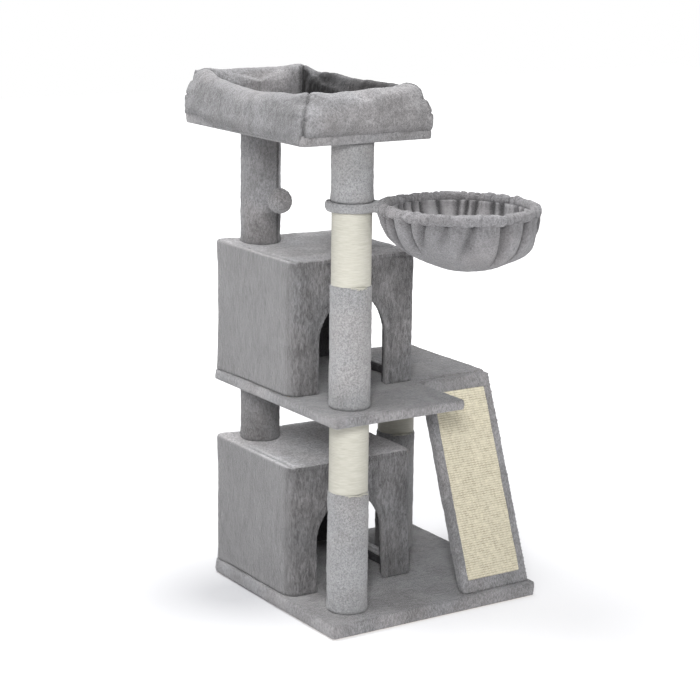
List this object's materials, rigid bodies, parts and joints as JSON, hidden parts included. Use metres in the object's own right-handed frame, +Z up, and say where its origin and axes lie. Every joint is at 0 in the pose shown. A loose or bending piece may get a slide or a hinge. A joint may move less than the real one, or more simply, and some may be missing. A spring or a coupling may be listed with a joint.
{
  "type": "cat tree",
  "caption": "Free-standing plush cat tree with box houses, a step with a scratching ramp, sisal posts, a padded perch, a swivelling basket hammock and a hanging ball.",
  "frame": {"origin": "centre of the base's underside, on the floor", "axes": "+X to the right along the front edge, +Y to the back, +Z up"},
  "size_m": [0.556, 0.6736, 1.05],
  "materials": {
    "plush": "short-pile faux-fur plush glued over the boards and tubes",
    "padded_plush": "the same plush over polyester filling",
    "hammock_plush": "the same plush, gathered",
    "plush_lining": "the same plush inside the houses",
    "ball_plush": "fluffy plush over a soft core",
    "sisal_wrap": "woven sisal wound tight, matt",
    "sisal_mat": "coarse woven sisal mat, matt",
    "board": "raw particle board",
    "cardboard": "pressed paper tube",
    "steel": "zinc-plated",
    "plug_plastic": "moulded, matt",
    "backing_felt": "thin non-woven sheet, matt",
    "string": "thin twisted cord"
  },
  "bodies": {
    "tree": {"base_board": "board", "base_cover": "plush", "base_backing": "backing_felt", "base_bolts": "steel", "lower_house_front": "board", "lower_house_back": "board", "lower_house_left": "board", "lower_house_right": "board", "lower_house_top": "board", "lower_house_cover": "plush", "lower_house_lining": "plush_lining", "upper_house_front": "board", "upper_house_back": "board", "upper_house_left": "board", "upper_house_right": "board", "upper_house_top": "board", "upper_house_cover": "plush", "upper_house_lining": "plush_lining", "front_post_lower_tube": "cardboard", "front_post_lower_plush": "plush", "front_post_lower_sisal": "sisal_wrap", "front_post_middle_tube": "cardboard", "front_post_middle_plush": "plush", "front_post_middle_sisal": "sisal_wrap", "front_post_upper_tube": "cardboard", "front_post_upper_plush": "plush", "rear_post_lower_tube": "cardboard", "rear_post_lower_plush": "plush", "rear_post_upper_tube": "cardboard", "rear_post_upper_plush": "plush", "side_post_tube": "cardboard", "side_post_plush": "plush", "side_post_sisal": "sisal_wrap", "post_end_plugs": "plug_plastic", "joining_studs": "steel", "house_bolts": "steel", "wood_screws": "steel", "platform_board": "board", "platform_cover": "plush", "perch_board": "board", "perch_cover": "plush", "perch_pad": "padded_plush", "perch_bolts": "steel", "perch_bolster_front": "padded_plush", "perch_bolster_back": "padded_plush", "perch_bolster_left": "padded_plush", "perch_bolster_right": "padded_plush", "ramp_board": "board", "ramp_cover": "plush", "ramp_sisal_panel": "sisal_mat", "toy_eyelet": "steel"},
    "hammock": {"hammock_frame": "steel", "hammock_collar_cover": "plush", "hammock_rim_sleeve": "hammock_plush", "hammock_basket": "hammock_plush"},
    "toy_link": {"toy_loop": "steel"},
    "toy": {"toy_string_eye": "string", "toy_string": "string", "toy_ball": "ball_plush"}
  },
  "joints": [
    {"name": "hammock_swivel", "type": "hinge", "parent": "tree", "child": "hammock", "pos_m": [-0.168, -0.16, 0.827], "axis": [0, 0, 1], "range_deg": [-100, 50]},
    {"name": "toy_swing_x", "type": "hinge", "parent": "tree", "child": "toy_link", "pos_m": [-0.219, 0.017, 0.94], "axis": [1, 0, 0], "range_deg": [-30, 30]},
    {"name": "toy_swing_y", "type": "hinge", "parent": "toy_link", "child": "toy", "pos_m": [-0.219, 0.017, 0.9342], "axis": [0, 1, 0], "range_deg": [-30, 30]}
  ]
}
